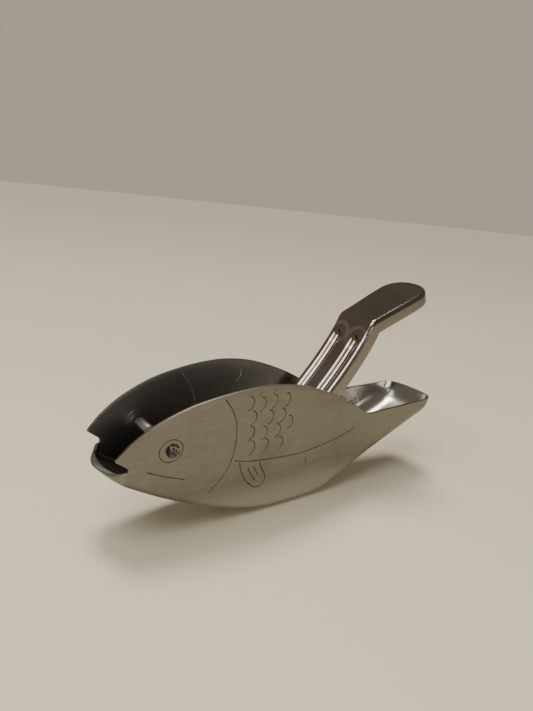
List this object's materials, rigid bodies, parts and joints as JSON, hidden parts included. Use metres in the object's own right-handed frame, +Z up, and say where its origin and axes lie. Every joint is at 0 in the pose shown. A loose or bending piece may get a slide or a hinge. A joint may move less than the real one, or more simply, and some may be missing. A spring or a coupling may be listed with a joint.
{
  "type": "fish-shaped lemon wedge squeezer",
  "caption": "Fish-shaped steel trough with a hinged pressing lever that squeezes a citrus wedge, the juice pouring from the open mouth.",
  "frame": {"origin": "on the surface the fish stands on, under the middle of the whole object", "axes": "+Z up, +X from the head to the tail, +Y to the fish's right side"},
  "size_m": [0.158, 0.0346, 0.0866],
  "materials": {
    "brushed_body": "satin, brushed stainless steel outside, duller inside",
    "polished_lever": "mirror-polished stainless steel",
    "bright_pivot": "bright turned steel"
  },
  "bodies": {
    "body": {"fish_body": "brushed_body", "pivot_rivet": "bright_pivot", "spacer_sleeve_near": "bright_pivot", "spacer_sleeve_far": "bright_pivot"},
    "lever": {"press_lever": "polished_lever"}
  },
  "joints": [
    {"name": "lever_pivot", "type": "hinge", "parent": "body", "child": "lever", "pos_m": [-0.0575, 0, 0.0345], "axis": [0, -1, 0], "range_deg": [0, 80]}
  ]
}
